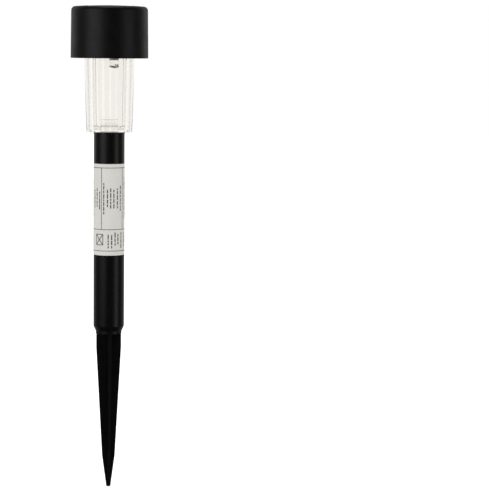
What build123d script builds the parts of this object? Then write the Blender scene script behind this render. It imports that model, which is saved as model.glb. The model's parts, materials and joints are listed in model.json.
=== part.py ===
from build123d import *
from math import cos, radians, sin
import os

os.makedirs("parts", exist_ok=True)

# A stake-type solar garden light: a finned ground spike, a round pole with a paper label, a clear
# fluted lens and a black cap that holds the solar panel, the battery, the board and the LED.
# All sizes are in millimetres. Z = 0 is the ground line, where the pole's lower end meets the
# spike's collar. +Z is up and -Y is the front.

# ---- Driving dimensions: ground spike ----
SPIKE_LENGTH = 120.2
SPIKE_COLLAR_DIAMETER = 19.4
SPIKE_COLLAR_HEIGHT = 2.3
FIN_SHOULDER_DEPTH = 13.0
FIN_SHOULDER_WIDTH = 18.8
FIN_KINK_DEPTH = 96.2
FIN_KINK_WIDTH = 9.6
FIN_TIP_WIDTH = 3.1
FIN_THICKNESS = 1.9
FIN_EDGE_RADIUS = 0.3
SPIKE_TURN = 6.0
PLUG_DIAMETER = 15.5
PLUG_HEIGHT = 18.0
PLUG_WALL = 1.8
PLUG_CHAMFER = 0.6

# ---- Driving dimensions: pole ----
POLE_DIAMETER = 23.1
POLE_LENGTH = 150.3
POLE_WALL = 1.2
NOSE_HEIGHT = 3.4
NOSE_STEP = 0.4
NOSE_EDGE_RADIUS = 1.2
SOCKET_WALL = 1.2
LABEL_BOTTOM = 57.7
LABEL_HEIGHT = 68.7
LABEL_THICKNESS = 0.12
LABEL_GAP = 3.0

# ---- Driving dimensions: lens ----
LENS_HEIGHT = 55.0
LENS_TOP_DIAMETER = 38.0
LENS_BOTTOM_DIAMETER = 34.8
LENS_WALL = 1.5
LENS_FLOOR = 1.8
FLUTE_COUNT = 16
FLUTE_DEPTH = 0.8
HUB_RING_TOP = 4.5
HUB_RING_ROOF = 1.8
HUB_RING_WALL = 1.9
HUB_BOSS_DIAMETER = 12.0
HUB_BOSS_TOP = 9.3
HUB_BOSS_ROOF = 2.5
HUB_BOSS_WALL = 1.5
GATE_DIAMETER = 1.5
GATE_HEIGHT = 1.3
SPIGOT_LENGTH = 12.0
SPIGOT_WALL = 1.4
COLLAR_HEIGHT = 7.0
COLLAR_STEP = 0.1
LUG_COUNT = 3
LUG_START_ANGLE = 30.0
LUG_HALF_ANGLE = 6.0
LUG_DEPTH = 1.2
LUG_LIFT = 2.2
LUG_HEIGHT = 2.0
SEAL_THICKNESS = 1.0
SEAL_WIDTH = 1.4

# ---- Driving dimensions: cap and base ----
CAP_OVERHANG = 10.05
CAP_HEIGHT = 39.5
CAP_CROWN = 1.2
CAP_DRAFT = 0.4
CAP_WALL = 1.8
CAP_TOP_RADIUS = 3.2
CAP_RIM_RADIUS = 0.4
PLATE_THICKNESS = 2.0
BAYONET_WALL = 1.4
TWIST_ANGLE = 20.0
LEDGE_HEIGHT = 1.2
SCREW_COUNT = 3
SCREW_START_ANGLE = -20.0
SCREW_DIAMETER = 2.3
SCREW_LENGTH = 8.0
SCREW_HEAD_DIAMETER = 4.2
SCREW_HEAD_HEIGHT = 1.6
SCREW_SLOT_LENGTH = 2.4
SCREW_SLOT_WIDTH = 0.5
SCREW_SLOT_DEPTH = 0.7
BOSS_DIAMETER = 5.2
BOSS_WALL_MERGE = 0.15

# ---- Driving dimensions: solar panel ----
PANEL_SIZE = 31.6
PANEL_CORNER_RADIUS = 1.2
TRAY_DEPTH = 2.5
TRAY_FLOOR = 1.5
FOAM_SIZE = 27.0
FOAM_THICKNESS = 0.6
BOARD_THICKNESS = 1.0
SOLAR_CELL_COUNT = 4
SOLAR_CELL_LENGTH = 28.0
SOLAR_CELL_WIDTH = 6.5
SOLAR_CELL_GAP = 0.6
SOLAR_CELL_THICKNESS = 0.25
WIRE_HOLE_DIAMETER = 4.0
WIRE_HOLE_Y = -4.0

# ---- Driving dimensions: battery and its contacts ----
BATTERY_DIAMETER = 10.5
BATTERY_LENGTH = 30.0
BATTERY_Y = 12.0
BATTERY_LIFT = 0.8
SLEEVE_THICKNESS = 0.1
SLEEVE_LIP = 0.5
BUTTON_DIAMETER = 3.8
BUTTON_HEIGHT = 0.8
CONTACT_THICKNESS = 0.4
CONTACT_WIDTH = 8.0
CONTACT_HEIGHT = 10.5
BAY_WALL = 1.5
BAY_WALL_HEIGHT = 8.0
SADDLE_X = 9.0
SADDLE_THICKNESS = 1.2
SADDLE_HEIGHT = 4.0
SPRING_WIRE = 0.6
SPRING_DIAMETER = 6.0
SPRING_TURNS = 3.0
SPRING_PITCH = 0.9

# ---- Driving dimensions: circuit board and what is on it ----
PCB_LENGTH = 23.0
PCB_WIDTH = 16.0
PCB_THICKNESS = 1.2
PCB_LIFT = 2.0
PCB_Y = -6.0
POST_DIAMETER = 3.2
STAKE_DIAMETER = 1.8
STAKE_HEIGHT = 0.8
POST_INSET = 2.0
CHIP_X = 3.8
CHIP_Y = 0.0
CHIP_WIDTH = 5.2
CHIP_DEPTH = 2.0
CHIP_HEIGHT = 3.2
CHIP_LEG_COUNT = 4
CHIP_LEG_PITCH = 1.27
CHIP_LEG_WIDTH = 0.45
CHIP_STAND_OFF = 1.0
COIL_X = -2.9
COIL_Y = -4.0
COIL_DIAMETER = 3.2
COIL_LENGTH = 7.0
COIL_LEAD = 0.6
COIL_LEAD_REACH = 1.6
COIL_CLEARANCE = 0.3
COIL_EDGE_RADIUS = 0.5
PAD_COUNT = 4
PAD_PITCH = 2.55
PAD_INSET = 2.55
PAD_ROW_Y = 2.25

# ---- Driving dimensions: LED ----
LED_X = 3.3
LED_DIAMETER = 5.0
LED_FLANGE_DIAMETER = 5.8
LED_FLANGE_THICKNESS = 1.0
LED_HEIGHT = 8.6
LED_REACH = 7.5
LEAD_PITCH = 2.54
LEAD_WIDTH = 0.5
LEAD_DEPTH_IN_LED = 4.4
LEAD_TAIL = 0.8
ANVIL_WIDTH = 1.7
ANVIL_HEIGHT = 1.4
PHOSPHOR_DIAMETER = 1.4
PHOSPHOR_HEIGHT = 0.45
TOWER_DIAMETER = 8.0
TOWER_REACH = 1.5

# ---- Driving dimensions: slide switch ----
SWITCH_WIDTH = 4.0
SWITCH_LENGTH = 8.6
SWITCH_HEIGHT = 3.6
SWITCH_Y = -4.0
SWITCH_SKIN = 0.6
SWITCH_TRAVEL = 2.0
SWITCH_MOUTH_GAP = 5.1
KNOB_WIDTH = 1.8
KNOB_LENGTH = 1.8
KNOB_REACH = 3.0
CARRIAGE_FLANGE = 0.3
CARRIAGE_OVERLAP = 0.6
CARRIAGE_HEIGHT = 1.2
TERMINAL_COUNT = 3
TERMINAL_PITCH = 2.5
TERMINAL_WIDTH = 0.9
TERMINAL_THICKNESS = 0.4
TERMINAL_HEIGHT = 2.0

# ---- Driving dimensions: wires ----
WIRE_DIAMETER = 1.1
WIRE_SPACING = 1.7
WIRE_END_RUN = 5.2
WIRE_RISE = 3.5
WIRE_BEND = 2.2

# ---- Named clearances ----
SLIDE_CLEARANCE = 0.05
LOOSE_CLEARANCE = 0.2
BAYONET_CLEARANCE = 0.3
BAYONET_SIDE_ANGLE = 2.0

# ---- Heights that follow ----
RIM = POLE_LENGTH + LENS_HEIGHT
COLLAR_TOP = RIM + COLLAR_HEIGHT
PLATE_BOTTOM = COLLAR_TOP + SEAL_THICKNESS
PLATE_TOP = PLATE_BOTTOM + PLATE_THICKNESS
CAP_TOP = RIM + CAP_HEIGHT
PANEL_TOP = CAP_TOP - CAP_CROWN
TRAY_BOTTOM = PANEL_TOP - TRAY_DEPTH
PANEL_BOARD_BOTTOM = TRAY_BOTTOM + FOAM_THICKNESS
PANEL_BOARD_TOP = PANEL_BOARD_BOTTOM + BOARD_THICKNESS
SOLAR_CELL_TOP = PANEL_BOARD_TOP + SOLAR_CELL_THICKNESS
PCB_BOTTOM = PLATE_TOP + PCB_LIFT
PCB_TOP = PCB_BOTTOM + PCB_THICKNESS
BATTERY_Z = PLATE_TOP + BATTERY_LIFT + BATTERY_DIAMETER / 2
LED_TIP = RIM - LED_REACH
LED_BACK = LED_TIP + LED_HEIGHT
TOWER_BOTTOM = RIM - TOWER_REACH

# ---- Radii and places that follow ----
POLE_RADIUS = POLE_DIAMETER / 2
POLE_BORE_RADIUS = POLE_RADIUS - POLE_WALL
SOCKET_RADIUS = PLUG_DIAMETER / 2 + SLIDE_CLEARANCE
SPIGOT_RADIUS = POLE_BORE_RADIUS - SLIDE_CLEARANCE
SPIGOT_BORE_RADIUS = SPIGOT_RADIUS - SPIGOT_WALL
COLLAR_RADIUS = LENS_TOP_DIAMETER / 2 + COLLAR_STEP
MOUTH_RADIUS = COLLAR_RADIUS - LENS_WALL
LUG_RADIUS = COLLAR_RADIUS + LUG_DEPTH
POCKET_RADIUS = LUG_RADIUS + BAYONET_CLEARANCE
BAYONET_RADIUS = POCKET_RADIUS + BAYONET_WALL
CAP_RADIUS = LENS_TOP_DIAMETER / 2 + CAP_OVERHANG
CAP_INNER_RADIUS = CAP_RADIUS - CAP_DRAFT - CAP_WALL
PLATE_RADIUS = CAP_INNER_RADIUS - SLIDE_CLEARANCE
SCREW_CIRCLE_RADIUS = CAP_INNER_RADIUS - BOSS_DIAMETER / 2 + BOSS_WALL_MERGE
BATTERY_START = -BATTERY_LENGTH / 2 + BUTTON_HEIGHT
BATTERY_END = BATTERY_START + BATTERY_LENGTH
SPRING_LENGTH = SPRING_TURNS * SPRING_PITCH + SPRING_WIRE
SWITCH_X = -(MOUTH_RADIUS - SWITCH_MOUTH_GAP)
BASE = (Align.CENTER, Align.CENTER, Align.MIN)
FRONT_ANGLE = -90.0


def polar(radius, angle):
    """The point at a radius and an angle in degrees on the ground plane."""
    return (radius * cos(radians(angle)), radius * sin(radians(angle)))


def disc(radius, low, high, x=0.0, y=0.0):
    """An upright round bar between two heights."""
    return Pos(x, y, low) * Cylinder(radius, high - low, align=BASE)


def ring(outer_radius, inner_radius, low, high, x=0.0, y=0.0):
    """An upright sleeve between two heights."""
    return disc(outer_radius, low, high, x, y) - disc(inner_radius, low, high, x, y)


def block(x, y, width, depth, low, high):
    """A box centred on x and y between two heights."""
    return Pos(x, y, low) * Box(width, depth, high - low, align=BASE)


def sector(inner_radius, outer_radius, start, end, low, high):
    """A slice of a ring between two angles and two heights."""
    outer = CenterArc((0, 0), outer_radius, start, end - start)
    inner = CenterArc((0, 0), inner_radius, start, end - start)
    sides = [Line(outer @ 0, inner @ 0), Line(outer @ 1, inner @ 1)]
    return Pos(0, 0, low) * extrude(make_face([outer, inner] + sides), high - low)


def tube_along(points, bend, diameter):
    """A round wire that runs straight between points and turns in arcs."""
    path = FilletPolyline(*points, radius=bend)
    return sweep(Plane(path @ 0, z_dir=path % 0) * Circle(diameter / 2), path=path)


def spaced(count, pitch):
    """Places on a line, centred on zero."""
    return [(i - (count - 1) / 2) * pitch for i in range(count)]


def screw_places():
    """The centres of the screws that hold the base plate in the cap."""
    angles = [SCREW_START_ANGLE + i * 360 / SCREW_COUNT for i in range(SCREW_COUNT)]
    return [polar(SCREW_CIRCLE_RADIUS, angle) for angle in angles]


def lug_angles():
    """The directions of the bayonet lugs."""
    return [LUG_START_ANGLE + i * 360 / LUG_COUNT for i in range(LUG_COUNT)]


def post_places():
    """The posts of the base plate that carry the circuit board."""
    x_reach = PCB_LENGTH / 2 - POST_INSET
    y_reach = PCB_WIDTH / 2 - POST_INSET
    corners = [(-x_reach, -y_reach), (x_reach, -y_reach), (x_reach, y_reach)]
    return [(LED_X + x, PCB_Y + y) for x, y in corners]


# ---- Ground spike ----


def spike_fin():
    """One flat blade of the spike: almost straight sides, then a short point."""
    right_side = [
        (SPIKE_COLLAR_DIAMETER / 2 - FIN_EDGE_RADIUS, -SPIKE_COLLAR_HEIGHT / 2),
        (FIN_SHOULDER_WIDTH / 2, -FIN_SHOULDER_DEPTH),
        (FIN_KINK_WIDTH / 2, -FIN_KINK_DEPTH),
        (FIN_TIP_WIDTH / 2, -SPIKE_LENGTH),
    ]
    left_side = [(-x, z) for x, z in reversed(right_side)]
    outline = Polyline(*right_side, *left_side, close=True)
    blade = extrude(Plane.XZ * make_face(outline), FIN_THICKNESS / 2, both=True)
    long_edges = blade.edges().filter_by(Axis.Y, reverse=True)
    below_collar = long_edges.filter_by(lambda e: e.center().Z < -SPIKE_COLLAR_HEIGHT)
    return fillet(below_collar, FIN_EDGE_RADIUS)


def ground_spike():
    """Four fins under a round collar, with a hollow plug that goes into the pole."""
    fins = spike_fin() + Rot(0, 0, 90) * spike_fin()
    collar = disc(SPIKE_COLLAR_DIAMETER / 2, -SPIKE_COLLAR_HEIGHT, 0)
    plug = disc(PLUG_DIAMETER / 2, 0, PLUG_HEIGHT)
    plug = chamfer(plug.edges().group_by(Axis.Z)[-1], PLUG_CHAMFER)
    plug -= disc(PLUG_DIAMETER / 2 - PLUG_WALL, 0, PLUG_HEIGHT)
    return Rot(0, 0, SPIKE_TURN) * (fins + collar + plug)


# ---- Pole ----


def pole_tube():
    """The pole: a thin tube with a tapered nose and a socket for the spike's plug."""
    nose_radius = SPIKE_COLLAR_DIAMETER / 2 + NOSE_STEP
    socket_outer = SOCKET_RADIUS + SOCKET_WALL
    nose = Cone(nose_radius, POLE_RADIUS, NOSE_HEIGHT, align=BASE)
    body = nose + disc(POLE_RADIUS, NOSE_HEIGHT, POLE_LENGTH)
    shoulder = body.edges().filter_by(lambda e: abs(e.center().Z - NOSE_HEIGHT) < 0.01)
    body = fillet(shoulder.filter_by(GeomType.CIRCLE), NOSE_EDGE_RADIUS)
    hollow = disc(POLE_BORE_RADIUS, NOSE_HEIGHT, POLE_LENGTH)
    hollow -= disc(socket_outer, NOSE_HEIGHT, PLUG_HEIGHT + LOOSE_CLEARANCE)
    socket = disc(SOCKET_RADIUS, 0, PLUG_HEIGHT + LOOSE_CLEARANCE)
    return body - hollow - socket


def pole_label():
    """The paper label, wrapped round the pole with a narrow gap at the back."""
    top = LABEL_BOTTOM + LABEL_HEIGHT
    paper = ring(POLE_RADIUS + LABEL_THICKNESS, POLE_RADIUS, LABEL_BOTTOM, top)
    return paper - block(0, POLE_RADIUS, LABEL_GAP, POLE_RADIUS, LABEL_BOTTOM, top)


# ---- Lens and seal ----


def fluted_face(crest_radius, height):
    """One level of the lens wall: convex flutes that meet in sharp valleys."""
    step = 360 / FLUTE_COUNT
    valley_radius = crest_radius - FLUTE_DEPTH
    arcs = []
    for i in range(FLUTE_COUNT):
        start = FRONT_ANGLE + i * step
        crest = polar(crest_radius, start + step / 2)
        arcs.append(
            ThreePointArc(polar(valley_radius, start), crest, polar(valley_radius, start + step))
        )
    return Pos(0, 0, height) * make_face(arcs)


def fluted_wall():
    """The flaring wall: flutes outside, and inside a smooth cone, so that each flute is a lens."""
    low_radius = LENS_BOTTOM_DIAMETER / 2
    top_radius = LENS_TOP_DIAMETER / 2
    inset = FLUTE_DEPTH + LENS_WALL
    sections = [fluted_face(low_radius, POLE_LENGTH), fluted_face(top_radius, RIM)]
    inside = Cone(low_radius - inset, top_radius - inset, LENS_HEIGHT - LENS_FLOOR, align=BASE)
    return loft(sections=sections, ruled=True) - Pos(0, 0, POLE_LENGTH + LENS_FLOOR) * inside


def lens():
    """The clear lens: fluted wall, floor with a stepped hub, spigot and bayonet collar."""
    floor_top = POLE_LENGTH + LENS_FLOOR
    ring_top = POLE_LENGTH + HUB_RING_TOP
    boss_top = POLE_LENGTH + HUB_BOSS_TOP
    wall = fluted_wall()
    collar = ring(COLLAR_RADIUS, MOUTH_RADIUS, RIM, COLLAR_TOP)
    lugs = [
        sector(
            MOUTH_RADIUS + LENS_WALL / 2,
            LUG_RADIUS,
            angle - LUG_HALF_ANGLE,
            angle + LUG_HALF_ANGLE,
            RIM + LUG_LIFT,
            RIM + LUG_LIFT + LUG_HEIGHT,
        )
        for angle in lug_angles()
    ]
    hub = disc(SPIGOT_BORE_RADIUS + HUB_RING_WALL, POLE_LENGTH, ring_top)
    hub += disc(HUB_BOSS_DIAMETER / 2, POLE_LENGTH, boss_top)
    hub += disc(GATE_DIAMETER / 2, boss_top, boss_top + GATE_HEIGHT)
    spigot = disc(SPIGOT_RADIUS, POLE_LENGTH - SPIGOT_LENGTH, floor_top)
    bore = disc(SPIGOT_BORE_RADIUS, POLE_LENGTH - SPIGOT_LENGTH, ring_top - HUB_RING_ROOF)
    bore += disc(HUB_BOSS_DIAMETER / 2 - HUB_BOSS_WALL, POLE_LENGTH, boss_top - HUB_BOSS_ROOF)
    return wall + collar + lugs + hub + spigot - bore


def sealing_ring():
    """The soft ring between the lens and the base plate."""
    return ring(COLLAR_RADIUS, COLLAR_RADIUS - SEAL_WIDTH, COLLAR_TOP, PLATE_BOTTOM)


# ---- Cap ----


def crowned_pot(inset, height, edge_radius):
    """A drafted round pot standing on the rim, with a gently crowned top and a rounded edge."""
    radius = CAP_RADIUS - inset
    pot = Pos(0, 0, RIM) * Cone(radius, radius - CAP_DRAFT, height, align=BASE)
    crown_radius = (radius**2 + CAP_CROWN**2) / (2 * CAP_CROWN)
    pot &= Pos(0, 0, RIM + height - crown_radius) * Sphere(crown_radius)
    round_edges = pot.edges().filter_by(lambda e: e.is_closed)
    return fillet(round_edges.group_by(Axis.Z)[-1], edge_radius)


def cap_shell():
    """The black cap: a crowned pot with a square tray for the panel, and bosses for the screws."""
    outer = crowned_pot(0, CAP_HEIGHT, CAP_TOP_RADIUS)
    outer = fillet(outer.edges().group_by(Axis.Z)[0], CAP_RIM_RADIUS)
    tray_size = PANEL_SIZE + 2 * LOOSE_CLEARANCE
    tray_outside = tray_size + 2 * CAP_WALL
    tray_shell = block(0, 0, tray_outside, tray_outside, TRAY_BOTTOM - TRAY_FLOOR, CAP_TOP)
    shell = outer - crowned_pot(CAP_WALL, CAP_HEIGHT - CAP_WALL, CAP_TOP_RADIUS - CAP_WALL)
    shell += tray_shell & outer
    for x, y in screw_places():
        boss_top = PANEL_TOP - CAP_WALL / 2
        pilot_top = PLATE_BOTTOM + SCREW_LENGTH + LOOSE_CLEARANCE
        shell += disc(BOSS_DIAMETER / 2, PLATE_TOP, boss_top, x, y)
        shell -= disc(SCREW_DIAMETER / 2 + SLIDE_CLEARANCE, PLATE_TOP, pilot_top, x, y)
    tray = block(0, 0, tray_size, tray_size, TRAY_BOTTOM, CAP_TOP)
    shell -= fillet(tray.edges().filter_by(Axis.Z), PANEL_CORNER_RADIUS)
    floor_low = TRAY_BOTTOM - TRAY_FLOOR
    return shell - disc(WIRE_HOLE_DIAMETER / 2, floor_low, TRAY_BOTTOM, 0, WIRE_HOLE_Y)


# ---- Solar panel ----


def panel_plate(size, low, high):
    """A square layer of the panel with rounded corners."""
    plate = block(0, 0, size, size, low, high)
    return fillet(plate.edges().filter_by(Axis.Z), PANEL_CORNER_RADIUS)


def panel_foam_pad():
    """The sticky foam pad under the panel, open where the wires pass."""
    pad = panel_plate(FOAM_SIZE, TRAY_BOTTOM, PANEL_BOARD_BOTTOM)
    hole = disc(WIRE_HOLE_DIAMETER / 2, TRAY_BOTTOM, PANEL_BOARD_BOTTOM, 0, WIRE_HOLE_Y)
    return pad - hole


def solar_cells():
    """The strips of silicon on the panel's board, joined in series."""
    return [
        block(0, y, SOLAR_CELL_LENGTH, SOLAR_CELL_WIDTH, PANEL_BOARD_TOP, SOLAR_CELL_TOP)
        for y in spaced(SOLAR_CELL_COUNT, SOLAR_CELL_WIDTH + SOLAR_CELL_GAP)
    ]


# ---- Base plate and screws ----


def bayonet_sleeve():
    """The sleeve round the lens's collar, with an entry slot and a pocket for each lug."""
    low = RIM + LUG_LIFT - LOOSE_CLEARANCE - LEDGE_HEIGHT
    pocket_low = RIM + LUG_LIFT - LOOSE_CLEARANCE
    pocket_high = RIM + LUG_LIFT + LUG_HEIGHT + LOOSE_CLEARANCE
    inside = COLLAR_RADIUS + BAYONET_CLEARANCE
    half_slot = LUG_HALF_ANGLE + BAYONET_SIDE_ANGLE
    sleeve = ring(BAYONET_RADIUS, inside, low, PLATE_BOTTOM)
    for angle in lug_angles():
        first, last = angle - half_slot, angle + half_slot
        sleeve -= sector(COLLAR_RADIUS, POCKET_RADIUS, first, last, low, pocket_high)
        sleeve -= sector(
            COLLAR_RADIUS, POCKET_RADIUS, first - TWIST_ANGLE, last, pocket_low, pocket_high
        )
    return sleeve


def battery_bay():
    """The end walls and saddles of the battery's bay."""
    end_width = BATTERY_DIAMETER - SLEEVE_LIP
    plus_wall = BATTERY_END + CONTACT_THICKNESS + SLIDE_CLEARANCE + BAY_WALL / 2
    minus_wall = BATTERY_START - SPRING_LENGTH - CONTACT_THICKNESS - SLIDE_CLEARANCE - BAY_WALL / 2
    bay = [
        block(x, BATTERY_Y, BAY_WALL, end_width, PLATE_TOP, PLATE_TOP + BAY_WALL_HEIGHT)
        for x in (minus_wall, plus_wall)
    ]
    cell_room = Pos(0, BATTERY_Y, BATTERY_Z) * Rot(0, 90, 0) * Cylinder(
        BATTERY_DIAMETER / 2 + SLIDE_CLEARANCE, BATTERY_LENGTH
    )
    for x in (-SADDLE_X, SADDLE_X):
        saddle = block(
            x, BATTERY_Y, SADDLE_THICKNESS, end_width, PLATE_TOP, PLATE_TOP + SADDLE_HEIGHT
        )
        bay.append(saddle - cell_room)
    return bay


def base_plate():
    """The plate that closes the cap: bayonet, LED tower, battery bay, posts and switch slot."""
    flange_room = LED_FLANGE_DIAMETER / 2 + SLIDE_CLEARANCE
    lip_top = LED_BACK - LED_FLANGE_THICKNESS
    plate = disc(PLATE_RADIUS, PLATE_BOTTOM, PLATE_TOP)
    plate += bayonet_sleeve()
    plate += disc(TOWER_DIAMETER / 2, TOWER_BOTTOM, PLATE_BOTTOM, LED_X)
    plate += battery_bay()
    for x, y in post_places():
        plate += disc(POST_DIAMETER / 2, PLATE_TOP, PCB_BOTTOM, x, y)
        plate += disc(STAKE_DIAMETER / 2, PCB_BOTTOM, PCB_TOP + STAKE_HEIGHT, x, y)
    plate -= disc(LED_DIAMETER / 2 + SLIDE_CLEARANCE, TOWER_BOTTOM, lip_top, LED_X)
    plate -= disc(flange_room, lip_top, PLATE_TOP, LED_X)
    slot_length = KNOB_LENGTH + SWITCH_TRAVEL + 2 * LOOSE_CLEARANCE
    slot_width = KNOB_WIDTH + 2 * LOOSE_CLEARANCE
    plate -= block(SWITCH_X, SWITCH_Y, slot_width, slot_length, PLATE_BOTTOM, PLATE_TOP)
    for x, y in screw_places():
        plate -= disc(SCREW_DIAMETER / 2 + LOOSE_CLEARANCE, PLATE_BOTTOM, PLATE_TOP, x, y)
    return plate


def base_screws():
    """The cross-head screws that hold the plate to the cap's bosses."""
    head_low = PLATE_BOTTOM - SCREW_HEAD_HEIGHT
    screws = []
    for x, y in screw_places():
        screw = disc(SCREW_HEAD_DIAMETER / 2, head_low, PLATE_BOTTOM, x, y)
        screw += disc(SCREW_DIAMETER / 2, PLATE_BOTTOM, PLATE_BOTTOM + SCREW_LENGTH, x, y)
        slot_top = head_low + SCREW_SLOT_DEPTH
        screw -= block(x, y, SCREW_SLOT_LENGTH, SCREW_SLOT_WIDTH, head_low, slot_top)
        screw -= block(x, y, SCREW_SLOT_WIDTH, SCREW_SLOT_LENGTH, head_low, slot_top)
        screws.append(screw)
    return screws


# ---- Battery and contacts ----


def along_battery(radius, start, end):
    """A round bar on the battery's axis between two places along X."""
    middle = (start + end) / 2
    return Pos(middle, BATTERY_Y, BATTERY_Z) * Rot(0, 90, 0) * Cylinder(radius, end - start)


def battery_cell():
    """The steel can of the cell with its positive button."""
    can = along_battery(
        BATTERY_DIAMETER / 2 - SLEEVE_THICKNESS, BATTERY_START, BATTERY_END - BUTTON_HEIGHT
    )
    return can + along_battery(BUTTON_DIAMETER / 2, BATTERY_END - BUTTON_HEIGHT, BATTERY_END)


def battery_sleeve():
    """The shrink sleeve round the can."""
    start = BATTERY_START + SLEEVE_LIP
    end = BATTERY_END - BUTTON_HEIGHT - SLEEVE_LIP
    sleeve = along_battery(BATTERY_DIAMETER / 2, start, end)
    return sleeve - along_battery(BATTERY_DIAMETER / 2 - SLEEVE_THICKNESS, start, end)


def contact_strip(start):
    """A flat spring-steel contact that stands against a wall of the bay."""
    return block(
        start + CONTACT_THICKNESS / 2,
        BATTERY_Y,
        CONTACT_THICKNESS,
        CONTACT_WIDTH,
        PLATE_TOP,
        PLATE_TOP + CONTACT_HEIGHT,
    )


def negative_spring():
    """The coil that presses the cell towards the positive contact."""
    start = BATTERY_START - SPRING_LENGTH + SPRING_WIRE / 2
    coil = Helix(
        pitch=SPRING_PITCH,
        height=SPRING_TURNS * SPRING_PITCH,
        radius=(SPRING_DIAMETER - SPRING_WIRE) / 2,
        center=(start, BATTERY_Y, BATTERY_Z),
        direction=(1, 0, 0),
    )
    section = Plane(coil @ 0, z_dir=coil % 0) * Circle(SPRING_WIRE / 2)
    return sweep(section, path=coil, is_frenet=True)


# ---- Circuit board ----


def circuit_board():
    """The driver board, held by stakes and by the LED's leads."""
    board = block(LED_X, PCB_Y, PCB_LENGTH, PCB_WIDTH, PCB_BOTTOM, PCB_TOP)
    for x, y in post_places():
        board -= disc(STAKE_DIAMETER / 2 + SLIDE_CLEARANCE, PCB_BOTTOM, PCB_TOP, x, y)
    for x in spaced(2, LEAD_PITCH):
        board -= disc(LEAD_WIDTH, PCB_BOTTOM, PCB_TOP, LED_X + x, 0)
    return board


def driver_chip():
    """The flat driver chip that stands on its legs."""
    x, y = LED_X + CHIP_X, PCB_Y + CHIP_Y
    low = PCB_TOP + CHIP_STAND_OFF
    chip = block(x, y, CHIP_WIDTH, CHIP_DEPTH, low, low + CHIP_HEIGHT)
    for step in spaced(CHIP_LEG_COUNT, CHIP_LEG_PITCH):
        chip += block(x + step, y, CHIP_LEG_WIDTH, CHIP_LEG_WIDTH, PCB_TOP, low)
    return chip


def coil_place():
    """The middle of the inductor on the board."""
    return (LED_X + COIL_X, PCB_Y + COIL_Y, PCB_TOP + COIL_CLEARANCE + COIL_DIAMETER / 2)


def inductor():
    """The moulded body of the axial inductor."""
    body = Cylinder(COIL_DIAMETER / 2, COIL_LENGTH)
    body = fillet(body.edges(), COIL_EDGE_RADIUS)
    return Pos(*coil_place()) * Rot(0, 90, 0) * body


def inductor_leads():
    """The two leads, bent down to the board."""
    x, y, z = coil_place()
    leads = []
    for side in (-1, 1):
        inner = x + side * COIL_LENGTH / 2
        outer = inner + side * COIL_LEAD_REACH
        points = [(inner, y, z), (outer, y, z), (outer, y, PCB_TOP)]
        leads.append(tube_along(points, COIL_LEAD, COIL_LEAD))
    return leads


# ---- LED ----


def led_lens():
    """The clear epoxy body of the LED, dome down."""
    radius = LED_DIAMETER / 2
    flange_low = LED_BACK - LED_FLANGE_THICKNESS
    body = disc(radius, LED_TIP + radius, flange_low, LED_X)
    body += Pos(LED_X, 0, LED_TIP + radius) * Sphere(radius)
    return body + disc(LED_FLANGE_DIAMETER / 2, flange_low, LED_BACK, LED_X)


def led_leadframe():
    """The two leads of the LED, the left one with the anvil that carries the chip."""
    low = LED_BACK - LED_FLANGE_THICKNESS - LEAD_DEPTH_IN_LED
    top = PCB_TOP + LEAD_TAIL
    left, right = (LED_X + step for step in spaced(2, LEAD_PITCH))
    post = block(right, 0, LEAD_WIDTH, LEAD_WIDTH, low, top)
    anvil_x = left - LEAD_WIDTH / 2 + ANVIL_WIDTH / 2
    anvil = block(anvil_x, 0, ANVIL_WIDTH, LEAD_WIDTH, low - ANVIL_HEIGHT, low)
    return [block(left, 0, LEAD_WIDTH, LEAD_WIDTH, low, top) + anvil, post]


def led_chip():
    """The chip under its drop of yellow phosphor, on the anvil."""
    top = LED_BACK - LED_FLANGE_THICKNESS - LEAD_DEPTH_IN_LED - ANVIL_HEIGHT
    x = LED_X - LEAD_PITCH / 2 - LEAD_WIDTH / 2 + ANVIL_WIDTH / 2
    return disc(PHOSPHOR_DIAMETER / 2, top - PHOSPHOR_HEIGHT, top, x)


# ---- Slide switch ----


def switch_case():
    """The switch's case, open below where the knob comes through."""
    case = block(
        SWITCH_X, SWITCH_Y, SWITCH_WIDTH, SWITCH_LENGTH, PLATE_TOP, PLATE_TOP + SWITCH_HEIGHT
    )
    room_low = PLATE_TOP + SWITCH_SKIN
    room_high = room_low + CARRIAGE_HEIGHT + 2 * SLIDE_CLEARANCE
    room_width = KNOB_WIDTH + 2 * (CARRIAGE_FLANGE + SLIDE_CLEARANCE)
    room_length = KNOB_LENGTH + 2 * CARRIAGE_OVERLAP + SWITCH_TRAVEL + 2 * LOOSE_CLEARANCE
    slot_length = KNOB_LENGTH + SWITCH_TRAVEL + 2 * LOOSE_CLEARANCE
    slot_width = KNOB_WIDTH + 2 * SLIDE_CLEARANCE
    case -= block(SWITCH_X, SWITCH_Y, room_width, room_length, room_low, room_high)
    return case - block(SWITCH_X, SWITCH_Y, slot_width, slot_length, PLATE_TOP, room_low)


def switch_terminals():
    """The solder tags on the back of the switch."""
    low = PLATE_TOP + SWITCH_HEIGHT
    top = low + TERMINAL_HEIGHT
    return [
        block(SWITCH_X, SWITCH_Y + step, TERMINAL_WIDTH, TERMINAL_THICKNESS, low, top)
        for step in spaced(TERMINAL_COUNT, TERMINAL_PITCH)
    ]


def switch_knob():
    """The knob at the off end of its travel, with its carriage in the case."""
    y = SWITCH_Y - SWITCH_TRAVEL / 2
    carriage_low = PLATE_TOP + SWITCH_SKIN + SLIDE_CLEARANCE
    stem = block(SWITCH_X, y, KNOB_WIDTH, KNOB_LENGTH, PLATE_BOTTOM - KNOB_REACH, carriage_low)
    carriage = block(
        SWITCH_X,
        y,
        KNOB_WIDTH + 2 * CARRIAGE_FLANGE,
        KNOB_LENGTH + 2 * CARRIAGE_OVERLAP,
        carriage_low,
        carriage_low + CARRIAGE_HEIGHT,
    )
    return stem + carriage


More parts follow.
